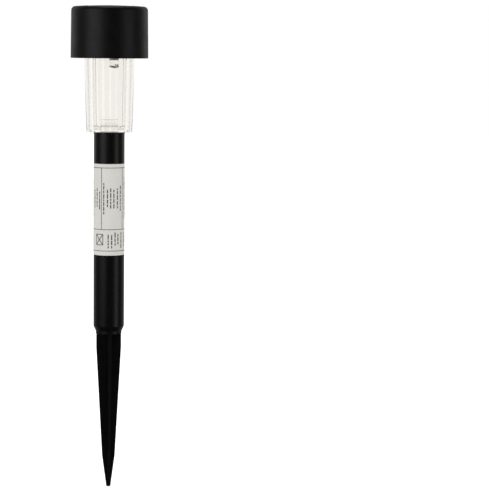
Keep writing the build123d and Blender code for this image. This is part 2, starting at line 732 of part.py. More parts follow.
# ---- Wires ----


def hanging_wire(x_from, y_from, top, x_to, y_to, bottom):
    """A wire from a joint above, straight down, across on a slope, and down to a joint."""
    points = [
        (x_from, y_from, top),
        (x_from, y_from, top - WIRE_END_RUN),
        (x_to, y_to, bottom + WIRE_END_RUN),
        (x_to, y_to, bottom),
    ]
    return tube_along(points, WIRE_BEND, WIRE_DIAMETER)


def looped_wire(x_from, y_from, z_from, x_to, y_to, z_to, crown):
    """A wire that rises from one joint, crosses at a height, and drops to another joint."""
    points = [
        (x_from, y_from, z_from),
        (x_from, y_from, crown),
        (x_to, y_to, crown),
        (x_to, y_to, z_to),
    ]
    return tube_along(points, WIRE_BEND, WIRE_DIAMETER)


def wires():
    """Every wire of the light, each with its name."""
    pad_x = LED_X - PCB_LENGTH / 2 + PAD_INSET
    pad_y = [PCB_Y + PAD_ROW_Y - step for step in spaced(PAD_COUNT, PAD_PITCH)]
    contact_top = PLATE_TOP + CONTACT_HEIGHT
    plus_x = BATTERY_END + CONTACT_THICKNESS / 2
    minus_x = BATTERY_START - SPRING_LENGTH - CONTACT_THICKNESS / 2
    tag_top = PLATE_TOP + SWITCH_HEIGHT + TERMINAL_HEIGHT
    crown = contact_top + WIRE_RISE
    first_tag = SWITCH_Y - TERMINAL_PITCH
    panel_pads = [-WIRE_SPACING / 2, WIRE_SPACING / 2]
    return {
        "panel_wire_red": hanging_wire(
            panel_pads[0], WIRE_HOLE_Y, PANEL_BOARD_BOTTOM, pad_x, pad_y[3], PCB_TOP
        ),
        "panel_wire_black": hanging_wire(
            panel_pads[1], WIRE_HOLE_Y, PANEL_BOARD_BOTTOM, pad_x, pad_y[2], PCB_TOP
        ),
        "battery_wire_black": looped_wire(
            minus_x, BATTERY_Y, contact_top, pad_x, pad_y[0], PCB_TOP, crown
        ),
        "battery_wire_red": looped_wire(
            plus_x, BATTERY_Y, contact_top, SWITCH_X, first_tag, tag_top, crown + WIRE_RISE
        ),
        "switch_wire": looped_wire(
            SWITCH_X, SWITCH_Y, tag_top, pad_x, pad_y[1], PCB_TOP, tag_top + WIRE_RISE
        ),
    }


def nodes():
    """Every piece of the light by its name."""
    pieces = {
        "ground_spike": ground_spike(),
        "pole_tube": pole_tube(),
        "pole_label": pole_label(),
        "lens": lens(),
        "sealing_ring": sealing_ring(),
        "cap_shell": cap_shell(),
        "panel_foam_pad": panel_foam_pad(),
        "panel_board": panel_plate(PANEL_SIZE, PANEL_BOARD_BOTTOM, PANEL_BOARD_TOP),
        "solar_cells": solar_cells(),
        "panel_window": panel_plate(PANEL_SIZE, SOLAR_CELL_TOP, PANEL_TOP),
        "base_plate": base_plate(),
        "base_screws": base_screws(),
        "battery_cell": battery_cell(),
        "battery_sleeve": battery_sleeve(),
        "positive_contact": contact_strip(BATTERY_END),
        "negative_contact": contact_strip(BATTERY_START - SPRING_LENGTH - CONTACT_THICKNESS),
        "negative_spring": negative_spring(),
        "circuit_board": circuit_board(),
        "driver_chip": driver_chip(),
        "inductor": inductor(),
        "inductor_leads": inductor_leads(),
        "led_lens": led_lens(),
        "led_leadframe": led_leadframe(),
        "led_chip": led_chip(),
        "switch_case": switch_case(),
        "switch_terminals": switch_terminals(),
        "switch_knob": switch_knob(),
    }
    pieces.update(wires())
    return pieces


for name, piece in nodes().items():
    solids = piece if isinstance(piece, list) else piece.solids()
    shape = Compound(children=list(solids)) if len(solids) > 1 else piece
    export_step(shape, f"parts/{name}.step")
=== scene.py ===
# %% [markdown]
# # A solar garden light
# A black cap with a solar panel sits on a clear fluted lens, a slim black pole with a paper
# label, and a finned ground spike. The CAD model gives every piece its place and size. Here the
# pieces that show get fine meshes and finishes, and a studio is set up round them.

# %% Load the frame
import json
import math
import random
from collections import Counter
import bpy
from mathutils import Matrix, Vector

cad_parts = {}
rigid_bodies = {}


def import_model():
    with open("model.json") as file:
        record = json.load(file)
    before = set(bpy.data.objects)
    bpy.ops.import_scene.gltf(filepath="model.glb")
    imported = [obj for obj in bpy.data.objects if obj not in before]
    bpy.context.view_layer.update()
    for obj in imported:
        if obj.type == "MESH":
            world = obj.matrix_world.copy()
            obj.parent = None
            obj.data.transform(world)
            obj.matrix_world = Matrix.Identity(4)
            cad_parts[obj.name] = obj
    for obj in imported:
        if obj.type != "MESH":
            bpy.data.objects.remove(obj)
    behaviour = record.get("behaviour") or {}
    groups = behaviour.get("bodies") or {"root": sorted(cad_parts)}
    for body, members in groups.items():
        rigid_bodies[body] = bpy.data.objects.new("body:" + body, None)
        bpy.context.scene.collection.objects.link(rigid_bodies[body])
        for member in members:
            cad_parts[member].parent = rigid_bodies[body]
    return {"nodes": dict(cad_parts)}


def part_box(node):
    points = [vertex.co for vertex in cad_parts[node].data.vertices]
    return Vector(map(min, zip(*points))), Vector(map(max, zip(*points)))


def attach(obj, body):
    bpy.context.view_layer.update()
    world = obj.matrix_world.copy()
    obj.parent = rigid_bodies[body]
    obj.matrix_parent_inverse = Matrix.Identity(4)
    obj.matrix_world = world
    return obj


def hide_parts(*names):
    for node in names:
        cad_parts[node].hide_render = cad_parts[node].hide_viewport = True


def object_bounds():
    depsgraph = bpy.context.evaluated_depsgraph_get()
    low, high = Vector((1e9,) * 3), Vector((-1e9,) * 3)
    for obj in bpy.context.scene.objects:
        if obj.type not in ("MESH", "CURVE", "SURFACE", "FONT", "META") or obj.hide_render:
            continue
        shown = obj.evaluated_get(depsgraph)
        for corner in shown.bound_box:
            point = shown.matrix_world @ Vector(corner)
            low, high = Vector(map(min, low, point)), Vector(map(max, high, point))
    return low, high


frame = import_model()
CAD_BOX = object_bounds()
bpy.ops.object.select_all(action="DESELECT")
print("CAD box in mm:", [[round(c * 1000, 1) for c in corner] for corner in CAD_BOX])

# %% [markdown]
# ## Places
# All new pieces are built from the CAD pieces' own boxes, so a change of size there carries
# over. `MM` turns a size in millimetres, as a maker writes it, into Blender's metres.

# %% Places that the pieces share
MM = 0.001
pole_low, pole_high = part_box("pole_tube")
label_low, label_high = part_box("pole_label")
lens_low, lens_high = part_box("lens")
cells_low, cells_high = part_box("solar_cells")
coil_low, coil_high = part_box("inductor")
BOARD_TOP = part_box("circuit_board")[1].z
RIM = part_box("cap_shell")[0].z
LENS_BOTTOM = pole_high.z
LABEL_RADIUS = (label_high.x - label_low.x) / 2
POLE_RADIUS = (pole_high.x - pole_low.x) / 2
print("rim at", round(RIM, 4), "lens from", round(LENS_BOTTOM, 4), "label radius", round(LABEL_RADIUS, 5))

# %% [markdown]
# ## Camera
# The light is seen from just above the level of the cap's rim, 1.6 m away, through a long lens,
# and stands at the left of the picture. The camera is turned and tipped to put it there, rather
# than shifted, so that every other view can be centred on the light. A small roll keeps it upright.

# %% Camera
CAMERA_DISTANCE = 1.6
CAMERA_ABOVE_RIM = 14.5 * MM
CAMERA_PITCH = math.radians(5.505)
CAMERA_YAW = math.radians(3.67)
CAMERA_ROLL = math.radians(0.52)
CAMERA_LENS = 156.3

camera_data = bpy.data.cameras.new("camera")
camera_data.lens = CAMERA_LENS
camera = bpy.data.objects.new("camera", camera_data)
bpy.context.scene.collection.objects.link(camera)
bpy.context.scene.camera = camera
camera.location = (0, -CAMERA_DISTANCE, RIM + CAMERA_ABOVE_RIM)
level = math.cos(CAMERA_PITCH)
look = Vector((math.sin(CAMERA_YAW) * level, math.cos(CAMERA_YAW) * level, -math.sin(CAMERA_PITCH)))
aim = look.to_track_quat("-Z", "Y").to_matrix() @ Matrix.Rotation(CAMERA_ROLL, 3, "Z")
camera.rotation_euler = aim.to_euler()
print("camera at", [round(c, 3) for c in camera.location], "lens", CAMERA_LENS, "mm")

# %% [markdown]
# ## Node helper and colours
# A shader is a small graph. `add` puts in one node with its settings, and `fill` gives a node's
# inputs their values or their links from other nodes, so each finish reads from top to bottom.
# `srgb` takes a colour as a colour picker shows it and gives the linear values that light obeys.


# %% Node helper and colours
def srgb(text):
    """A colour written as sRGB hex, turned to the linear values that shaders use."""
    parts = [int(text[i:i + 2], 16) / 255 for i in (1, 3, 5)]
    return tuple(c / 12.92 if c <= 0.04045 else ((c + 0.055) / 1.055) ** 2.4 for c in parts) + (1.0,)


def fill(tree, node, inputs):
    """Fills a node's inputs with values, with other nodes' first outputs, or with given sockets."""
    for name, value in inputs.items():
        if isinstance(value, bpy.types.Node):
            value = next(socket for socket in value.outputs if socket.enabled)
        if isinstance(value, bpy.types.NodeSocket):
            tree.links.new(value, node.inputs[name])
        else:
            node.inputs[name].default_value = value


def add(tree, kind, inputs, **settings):
    """Adds a node with its settings, and fills its inputs."""
    node = tree.nodes.new(kind)
    for name, value in settings.items():
        setattr(node, name, value)
    fill(tree, node, inputs)
    return node


# %% [markdown]
# ## Studio
# The light stands before white paper. White paper all round would also shine in the black
# plastic, so the world is white only where it is looked at, directly or through the clear lens,
# and, more softly, where the plastic mirrors what is behind the light. Two tall soft boxes left
# and right draw the long highlights. Two weak ones behind and one overhead give the back and the
# solar panel some shape.

# %% World
THROUGH_LENS = 0.935
ON_MATT_FACES = 0.55
SHINE_IN_FRONT = 0.006
SHINE_BEHIND = 0.4
WARM_PAPER = "#fffdfa"
WHITE = "#ffffff"
world = bpy.data.worlds.new("studio")
bpy.context.scene.world = world
world.use_nodes = True
sky = world.node_tree
sky.nodes.clear()
ray = add(sky, "ShaderNodeLightPath", {})
toward = add(sky, "ShaderNodeTexCoord", {})
split = add(sky, "ShaderNodeSeparateXYZ", {"Vector": toward.outputs["Generated"]})
paper_behind = add(sky, "ShaderNodeMapRange", {
    "Value": split.outputs["Y"], "From Min": -0.05, "From Max": 0.9,
    "To Min": SHINE_IN_FRONT, "To Max": SHINE_BEHIND,
}, interpolation_type="SMOOTHSTEP")
cast = add(sky, "ShaderNodeMix", {
    "Factor": ray.outputs["Is Diffuse Ray"], "A": paper_behind, "B": ON_MATT_FACES,
})
clear = add(sky, "ShaderNodeMath", {
    0: ray.outputs["Is Singular Ray"], 1: ray.outputs["Is Transmission Ray"],
}, operation="MAXIMUM")
through = add(sky, "ShaderNodeMix", {"Factor": clear, "A": cast, "B": THROUGH_LENS})
shine = add(sky, "ShaderNodeMix", {"Factor": ray.outputs["Is Camera Ray"], "A": through, "B": 1.0})
tint = add(sky, "ShaderNodeMix", {
    "Factor": ray.outputs["Is Camera Ray"], "A": srgb(WARM_PAPER), "B": srgb(WHITE),
}, data_type="RGBA")
paper_light = add(sky, "ShaderNodeBackground", {"Color": tint, "Strength": shine})
add(sky, "ShaderNodeOutputWorld", {"Surface": paper_light})
bpy.context.scene.view_settings.view_transform = "Standard"
print("world nodes:", len(sky.nodes))


# %% Soft boxes
SOFTBOX_DISTANCE = 1.3
OVERHEAD_BEHIND = 0.25


def softbox(name, azimuth, width, bottom, top, power):
    """An upright soft light between two heights, at an azimuth left of the camera."""
    data = bpy.data.lights.new(name, "AREA")
    data.shape = "RECTANGLE"
    data.size = width
    data.size_y = top - bottom
    data.energy = power
    lamp = bpy.data.objects.new(name, data)
    bpy.context.scene.collection.objects.link(lamp)
    turn = math.radians(azimuth)
    facing = Vector((math.sin(turn), math.cos(turn), 0))
    lamp.location = -SOFTBOX_DISTANCE * facing
    lamp.location.z = (bottom + top) / 2
    lamp.rotation_euler = facing.to_track_quat("-Z", "Y").to_euler()
    lamp.visible_transmission = False
    return lamp


softbox("softbox_left", 47, 1.0, 0.02, 0.97, 4.5)
softbox("softbox_right", -58, 0.5, -0.5, 0.7, 2.1)
softbox("softbox_back_left", 133, 0.6, 0.0, 0.95, 0.7)
softbox("softbox_back_right", -133, 0.6, 0.0, 0.95, 0.7)
overhead = softbox("softbox_top", 180, 0.7, 1.1, 1.8, 4.0)
overhead.location.y = OVERHEAD_BEHIND
overhead.rotation_euler = (-overhead.location).to_track_quat("-Z", "Y").to_euler()

# %% [markdown]
# ## Floor
# A wide pale sheet just below the spike's tip. It glows a little, as white paper under studio
# light does. It is hidden from mirror rays, so that it doesn't grey the black plastic, and from
# rays that come through the lens, so that the clear wall looks evenly bright.

# %% Floor
FLOOR_GAP = 0.5 * MM
FLOOR_SIDE = 12
FLOOR_GLOW = 0.75
bpy.ops.mesh.primitive_plane_add(size=FLOOR_SIDE, location=(0, 0, CAD_BOX[0].z - FLOOR_GAP))
floor = bpy.context.object
floor.name = "floor"
floor.visible_glossy = False
floor.visible_transmission = False
paper = bpy.data.materials.new("studio_paper")
paper.use_nodes = True
fill(paper.node_tree, paper.node_tree.nodes["Principled BSDF"], {
    "Base Color": srgb("#f4f3f0"), "Roughness": 1.0, "Specular IOR Level": 0.0,
    "Emission Color": srgb(WHITE), "Emission Strength": FLOOR_GLOW,
})
floor.data.materials.append(paper)
bpy.ops.object.select_all(action="DESELECT")
print("floor at", round(CAD_BOX[0].z - FLOOR_GAP, 4))

# %% [markdown]
# ## Turned outlines
# Most moulded pieces of this light are round, so they can be turned as on a lathe: half of the
# outline is drawn point by point and spun about the upright axis. The outline is drawn with
# extrude, as by hand, which keeps every size an exact number.


# %% Draw and spin an outline
# Spin turns clockwise about an axis that points at the eye, so an axis that points down
# turns a piece anticlockwise when it is seen from above.
DOWN = (0, 0, -1)
MERGE = 0.01 * MM
TOUCH = 0.02 * MM


def start_piece(name, place):
    """A new piece that starts as one single point, open in edit mode with that point selected."""
    bpy.ops.object.select_all(action="DESELECT")
    bpy.ops.mesh.primitive_plane_add(size=MM, location=(0, 0, 0))
    piece = bpy.context.object
    piece.name = name
    piece.data.name = name
    bpy.ops.object.mode_set(mode="EDIT")
    bpy.ops.mesh.select_mode(type="VERT")
    bpy.ops.mesh.select_all(action="SELECT")
    bpy.ops.mesh.merge(type="CENTER")
    bpy.ops.transform.translate(value=place)
    return piece


def new_point(place):
    """Another single point in the open piece, with only it selected."""
    bpy.ops.mesh.select_mode(type="VERT")
    bpy.ops.mesh.select_all(action="DESELECT")
    bpy.ops.mesh.primitive_plane_add(size=MM, location=place)
    bpy.ops.mesh.merge(type="CENTER")


def draw_outline(points):
    """Extrudes the selected point from point to point of an outline in the XZ plane."""
    for (r, z), (next_r, next_z) in zip(points, points[1:]):
        bpy.ops.mesh.extrude_region_move(TRANSFORM_OT_translate={"value": (next_r - r, 0, next_z - z)})
    bpy.ops.mesh.select_linked()


def select_faces(piece, wanted):
    """Selects the faces of the open piece whose middle passes a test."""
    bpy.ops.mesh.select_all(action="DESELECT")
    bpy.ops.object.mode_set(mode="OBJECT")
    for face in piece.data.polygons:
        face.select = wanted(face.center)
    bpy.ops.object.mode_set(mode="EDIT")
    bpy.ops.mesh.select_mode(type="FACE")


def select_edges(piece, wanted):
    """Selects the edges of the open piece whose two ends both pass a test."""
    bpy.ops.mesh.select_mode(type="EDGE")
    bpy.ops.mesh.select_all(action="DESELECT")
    bpy.ops.object.mode_set(mode="OBJECT")
    ends = piece.data.vertices
    for edge in piece.data.edges:
        edge.select = all(wanted(ends[v].co) for v in edge.vertices)
    bpy.ops.object.mode_set(mode="EDIT")


def finish_piece(piece, body, slot, *nodes, angle=35):
    """Leaves edit mode, smooths the round faces, gives the piece its body and hides the CAD nodes it
    replaces. The slot is not used.
    """
    bpy.ops.object.mode_set(mode="OBJECT")
    bpy.ops.object.shade_smooth_by_angle(angle=math.radians(angle))
    bpy.ops.object.select_all(action="DESELECT")
    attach(piece, body)
    if nodes:
        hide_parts(*nodes)
    sizes = [round(side * 1000, 2) for side in piece.dimensions]
    print(piece.name, "faces", len(piece.data.polygons), "size in mm", sizes)


# %% [markdown]
# ## The lens
# The lens is one injection moulding in clear polystyrene: a flaring wall with sixteen convex
# flutes outside and a smooth cone inside, a floor with a stepped hub, a spigot that plugs into
# the pole, and a collar with three lugs for the cap. Each flute acts as an upright magnifier,
# so the true shape matters: a smooth cup with painted stripes would not bend what is behind it.
# One flute is spun and copied round. The gaps between it and two turned outlines are flat rings,
# and fill closes each of them.

# %% Lens sizes
FLUTES = 16
FLUTE_STEPS = 12
CREST_LOW = 17.4 * MM
VALLEY_LOW = 16.6 * MM
CREST_TOP = 19.0 * MM
COLLAR_RADIUS = (lens_high.x - lens_low.x) / 2
MOUTH_RADIUS = COLLAR_RADIUS - 1.5 * MM
WALL_LOW = 15.1 * MM
WALL_TOP = 16.7 * MM
LENS_FLOOR = LENS_BOTTOM + 1.8 * MM
HUB_TOP = LENS_BOTTOM + 4.5 * MM
BOSS_TOP = LENS_BOTTOM + 9.3 * MM
BOSS_RADIUS = 6.0 * MM
BOSS_STEPS = 4
BOSS_STEP_WIDTH = 0.35 * MM
NIB_TOP = BOSS_TOP + 1.3 * MM
NIB_RADIUS = 0.75 * MM
SPIGOT_RADIUS = POLE_RADIUS - 1.25 * MM
BORE_RADIUS = SPIGOT_RADIUS - 1.4 * MM
BORE_FLOOR = LENS_BOTTOM + 2.7 * MM
HUB_RADIUS = BORE_RADIUS + 1.9 * MM
HUB_ROUND = 0.5 * MM
HOLLOW_TOP = LENS_BOTTOM + 6.8 * MM
HOLLOW_RADIUS = 4.5 * MM
LUG_LOW = RIM + 2.2 * MM
LUG_TOP = RIM + 4.2 * MM
LUG_RADIUS = 20.3 * MM
LUG_ANGLES = (30, 150, 270)
LUG_HALF_ANGLE = 6
LUG_MARGIN = 0.1 * MM
ROUND_STEPS = FLUTES * FLUTE_STEPS

# %% Lens: one flute, copied round
half_turn = math.pi / FLUTES
chord = VALLEY_LOW * math.sin(half_turn)
rise = CREST_LOW - VALLEY_LOW * math.cos(half_turn)
flute_radius = (chord ** 2 + rise ** 2) / (2 * rise)
flute_middle = CREST_LOW - flute_radius
flute_half = math.asin(chord / flute_radius)
start = (VALLEY_LOW * math.cos(half_turn), -chord, LENS_BOTTOM)
lens = start_piece("lens_moulding", start)
bpy.ops.mesh.spin(steps=FLUTE_STEPS, angle=2 * flute_half, center=(flute_middle, 0, 0), axis=DOWN)
bpy.ops.mesh.select_all(action="SELECT")
bpy.ops.transform.rotate(value=half_turn, orient_axis="Z", center_override=(0, 0, 0))
bpy.ops.mesh.spin(steps=FLUTES, angle=2 * math.pi, center=(0, 0, 0), axis=DOWN, dupli=True)
bpy.ops.mesh.select_all(action="SELECT")
bpy.ops.mesh.remove_doubles(threshold=MERGE)
bpy.ops.object.mode_set(mode="OBJECT")
print("flute ring:", len(lens.data.vertices), "points")
bpy.ops.object.mode_set(mode="EDIT")

# %% Lens: the wall rises and flares
bpy.ops.mesh.select_all(action="SELECT")
WALL_ROWS = 6
for row in range(WALL_ROWS):
    before = CREST_LOW + (CREST_TOP - CREST_LOW) * row / WALL_ROWS
    after = CREST_LOW + (CREST_TOP - CREST_LOW) * (row + 1) / WALL_ROWS
    lift = (RIM - LENS_BOTTOM) / WALL_ROWS
    bpy.ops.mesh.extrude_region_move(TRANSFORM_OT_translate={"value": (0, 0, lift)})
    flare = after / before
    bpy.ops.transform.resize(value=(flare, flare, 1), center_override=(0, 0, RIM))

# %% Lens: collar, mouth, inner cone, floor and hub, turned
inner_outline = [
    (COLLAR_RADIUS, RIM), (COLLAR_RADIUS, LUG_LOW), (COLLAR_RADIUS, LUG_TOP), (COLLAR_RADIUS, lens_high.z),
    (MOUTH_RADIUS, lens_high.z), (MOUTH_RADIUS, RIM), (WALL_TOP, RIM), (WALL_LOW, LENS_FLOOR),
    (HUB_RADIUS, LENS_FLOOR), (HUB_RADIUS, HUB_TOP),
]
for step in range(BOSS_STEPS):
    radius = BOSS_RADIUS - step * BOSS_STEP_WIDTH
    foot = HUB_TOP + (BOSS_TOP - HUB_TOP) * step / BOSS_STEPS
    inner_outline += [(radius, foot), (radius, foot + (BOSS_TOP - HUB_TOP) / BOSS_STEPS)]
inner_outline += [(NIB_RADIUS, BOSS_TOP), (NIB_RADIUS, NIB_TOP), (0, NIB_TOP)]
new_point((inner_outline[0][0], 0, inner_outline[0][1]))
draw_outline(inner_outline)
bpy.ops.mesh.spin(steps=ROUND_STEPS, angle=2 * math.pi, center=(0, 0, 0), axis=DOWN)
lower_outline = [
    (0, HOLLOW_TOP), (HOLLOW_RADIUS, HOLLOW_TOP), (HOLLOW_RADIUS, BORE_FLOOR), (BORE_RADIUS, BORE_FLOOR),
    (BORE_RADIUS, lens_low.z), (SPIGOT_RADIUS, lens_low.z), (SPIGOT_RADIUS, LENS_BOTTOM),
]
new_point((lower_outline[0][0], 0, lower_outline[0][1]))
draw_outline(lower_outline)
bpy.ops.mesh.spin(steps=ROUND_STEPS, angle=2 * math.pi, center=(0, 0, 0), axis=DOWN)
bpy.ops.mesh.select_all(action="SELECT")
bpy.ops.mesh.remove_doubles(threshold=MERGE)

# %% Lens: fill the flat rings between the wall and the turned parts
gaps = ((RIM, MOUTH_RADIUS + TOUCH, LUG_RADIUS), (LENS_BOTTOM, SPIGOT_RADIUS - TOUCH, CREST_TOP))
for height, inner, outer in gaps:
    select_edges(lens, lambda co: abs(co.z - height) < TOUCH and inner < co.xy.length < outer)
    bpy.ops.mesh.fill(use_beauty=False)
bpy.ops.mesh.select_all(action="SELECT")
bpy.ops.mesh.normals_make_consistent(inside=False)

# %% Lens: the three lugs of the bayonet
lug_reach = math.radians(LUG_HALF_ANGLE)


def on_lug(middle):
    """Whether a face of the collar lies where a lug stands."""
    turn = math.atan2(middle.y, middle.x)
    near = any(abs(math.remainder(turn - math.radians(a), math.tau)) < lug_reach for a in LUG_ANGLES)
    return near and LUG_LOW < middle.z < LUG_TOP and middle.xy.length > COLLAR_RADIUS - LUG_MARGIN


select_faces(lens, on_lug)
spread = LUG_RADIUS / COLLAR_RADIUS
bpy.ops.mesh.extrude_region_move(TRANSFORM_OT_translate={"value": (0, 0, 0)})
bpy.ops.transform.resize(value=(spread, spread, 1), center_override=(0, 0, RIM))


# %% Lens: soft edges on the hub, then its body
def on_hub_edge(co):
    """Whether a point lies on the hub's rim or on the rim of the boss on it."""
    rims = ((HUB_RADIUS, HUB_TOP), (BOSS_RADIUS - (BOSS_STEPS - 1) * BOSS_STEP_WIDTH, BOSS_TOP))
    return any(abs(co.xy.length - r) < TOUCH and abs(co.z - z) < TOUCH for r, z in rims)


select_edges(lens, on_hub_edge)
bpy.ops.mesh.bevel(offset=HUB_ROUND, segments=3)
finish_piece(lens, "lens", "clear_plastic", "lens", angle=30)
uses = Counter(edge for face in lens.data.polygons for edge in face.edge_keys)
print("lens edges not shared by two faces:", sum(1 for count in uses.values() if count != 2))

# %% [markdown]
# ## The panel's window
# Clear epoxy is poured over the solar cells and finds its own level, so its upper edges are
# round. The piece grows from a point by three extrusions, and its top is bevelled. It stays a
# hair above the cells, because two faces in one plane would hide each other by chance.

# %% The panel's window
WINDOW_CLEARANCE = 0.04 * MM
WINDOW_ROUND = 0.2 * MM
window_low, window_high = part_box("panel_window")
window_foot = cells_high.z + WINDOW_CLEARANCE
window = start_piece("cast_window", (window_low.x, window_low.y, window_foot))
window_size = window_high - window_low
sides = ((window_size.x, 0, 0), (0, window_size.y, 0), (0, 0, window_high.z - window_foot))
for side in sides:
    bpy.ops.mesh.extrude_region_move(TRANSFORM_OT_translate={"value": side})
    bpy.ops.mesh.select_linked()
bpy.ops.mesh.normals_make_consistent(inside=False)
select_edges(window, lambda co: co.z > window_high.z - TOUCH)
bpy.ops.mesh.bevel(offset=WINDOW_ROUND, segments=3)
finish_piece(window, "head", "clear_resin", "panel_window")

# %% [markdown]
# ## The label's print
# The real label carries grey rules and columns of small print. Here every word is a plain bar,
# so nothing can be read, and the symbol is a plain crossed square. Ink lies on the paper, so
# each bar is a thin curved strip: an upright edge is spun about the pole's axis. The lengths of
# the words come from a fixed seed, so the print is the same every time.

# %% Bars of ink
INK_LIFT = 0.02 * MM
INK_RADIUS = LABEL_RADIUS + INK_LIFT
INK_STEP = math.radians(4)
INK_THICKNESS = 0.03 * MM
FRONT = math.radians(-90)
label_print = start_piece("label_print", (0, -INK_RADIUS, label_low.z + 1 * MM))
bpy.ops.mesh.delete(type="VERT")


def ink_bar(angle, width, low, high):
    """A bar of ink centred at an angle right of the front, with its width along the surface."""
    sweep = width / INK_RADIUS
    first = FRONT + math.radians(angle) - sweep / 2
    new_point((INK_RADIUS * math.cos(first), INK_RADIUS * math.sin(first), low))
    bpy.ops.mesh.extrude_region_move(TRANSFORM_OT_translate={"value": (0, 0, high - low)})
    bpy.ops.mesh.select_linked()
    steps = max(1, round(sweep / INK_STEP))
    bpy.ops.mesh.spin(steps=steps, angle=sweep, center=(0, 0, 0), axis=DOWN)


words = random.Random(7)
PRINT_WIDTH = 0.85 * MM
SHORTEST_WORD = 1.2 * MM


def print_column(angle, low, high):
    """A column of upright print: one bar to a word, with gaps between the words."""
    here = low
    while here < high - SHORTEST_WORD:
        word = words.uniform(1.4, 4.2) * MM
        ink_bar(angle, PRINT_WIDTH, here, min(here + word, high))
        here += word + words.uniform(0.45, 0.8) * MM


# %% Rules, columns and the plain symbol
RULE = 0.45 * MM
top_rule = label_high.z - 2.9 * MM
middle_rule = label_low.z + 19.5 * MM
bottom_rule = label_low.z + 3.4 * MM
RULE_GAP = 4.5 * MM
around = math.tau * INK_RADIUS - RULE_GAP
for height in (top_rule, middle_rule, bottom_rule):
    ink_bar(0, around, height - RULE / 2, height + RULE / 2)
for angle in (-29, 57, 140, -130):
    ink_bar(angle, RULE, middle_rule, top_rule)
upper = (
    (-64, 16, 30), (-50, 17, 31), (-37, 15, 29), (-20, 11.5, 35), (-6, 17, 30), (6, 16, 31), (18, 16, 30),
    (32, 16, 31), (46, 14, 33), (72, 8, 39), (85, 10, 36), (98, 8, 37), (112, 12, 34), (126, 9, 38),
    (156, 12, 34), (166, 10, 36), (-166, 12, 34), (-156, 10, 36), (-142, 14, 32), (-114, 9, 36),
    (-98, 12, 34), (-82, 10, 36),
)
for angle, low, high in upper:
    print_column(angle, middle_rule + low * MM, middle_rule + high * MM)
lower = (
    (-3, 2, 14), (10, 2, 13), (23, 4, 14), (35, 5, 13), (50, 2, 14), (68, 3, 14), (84, 2, 13), (100, 3, 14),
    (118, 2, 14), (134, 4, 13), (160, 3, 14), (-160, 3, 13), (-120, 2, 14), (-104, 4, 13), (-88, 3, 14),
)
for angle, low, high in lower:
    print_column(angle, bottom_rule + low * MM, bottom_rule + high * MM)

# %% The crossed square
SIGN_ANGLE = -38
SIGN_SIZE = 6.0 * MM
SIGN_LINE = 0.55 * MM
CROSS_WIDTH = 1.3 * SIGN_LINE
CROSS_HALF_HEIGHT = 0.34 * MM
CROSS_STEPS = 12
sign_low = bottom_rule + 4.5 * MM
sign_high = sign_low + 8.0 * MM
half_sign = math.degrees(SIGN_SIZE / 2 / INK_RADIUS)
for side in (-1, 1):
    ink_bar(SIGN_ANGLE + side * half_sign, SIGN_LINE, sign_low, sign_high)
for height in (sign_low, sign_high):
    ink_bar(SIGN_ANGLE, SIGN_SIZE, height - SIGN_LINE / 2, height + SIGN_LINE / 2)
for i in range(CROSS_STEPS):
    along = (i + 0.5) / CROSS_STEPS
    rung = sign_low + (sign_high - sign_low) * along
    lean = (2 * along - 1) * half_sign
    for side in (-1, 1):
        ink_bar(SIGN_ANGLE + side * lean, CROSS_WIDTH, rung - CROSS_HALF_HEIGHT, rung + CROSS_HALF_HEIGHT)

# %% The print gets its thickness
# The ink is solidified inwards, from its outer face to just inside the paper, as ink sinks in.
bpy.ops.mesh.select_all(action="SELECT")
bpy.ops.mesh.normals_make_consistent(inside=False)
bpy.ops.object.mode_set(mode="OBJECT")
film = label_print.modifiers.new("film", "SOLIDIFY")
film.thickness = INK_THICKNESS
film.offset = -1
bpy.ops.object.modifier_apply(modifier="film")
bpy.ops.object.mode_set(mode="EDIT")
finish_piece(label_print, "pole", "label_paper", angle=30)

# %% [markdown]
# ## Finishes
# A finish starts from what the thing is made of and how its surface was made. `finish` opens a
# material with its main shader and hands back the parts to build on. Patterns read Object
# coordinates, which are real metres on every piece, so a grain of 0.3 mm is 0.3 mm everywhere.
# Noise keeps mostly between 0.3 and 0.7, so a Map Range node spreads that middle over the range
# that a tint or a gloss needs.

# %% Start a finish
NOISE_MIDDLE = {"From Min": 0.3, "From Max": 0.7}
LENGTHWISE = (1, 1, 0.12)
CROSSWISE = (1, 1, 3.0)
EVEN = (1, 1, 1)


def finish(name, constants):
    """A new material, its tree, its main shader with constants set, and its Object coordinates."""
    made = bpy.data.materials.new(name)
    made.use_nodes = True
    tree = made.node_tree
    shader = tree.nodes["Principled BSDF"]
    fill(tree, shader, constants)
    place = add(tree, "ShaderNodeTexCoord", {}).outputs["Object"]
    return made, tree, shader, place


def per_metre(size):
    """The scale that gives a texture features of a size in millimetres."""
    return 1 / (size * MM)


# %% [markdown]
# ## Black polypropylene
# Cap, pole, spike and base plate are injection-moulded polypropylene with carbon black. It is a
# soft black with a satin skin. The cap's mould was spark-eroded, so it has a fine matte grain of
# about 0.3 mm that spreads its highlights wide. The pole's mould was drawn lengthwise, so its
# skin is smoother and has faint long streaks. The spike has flow marks across its blades.


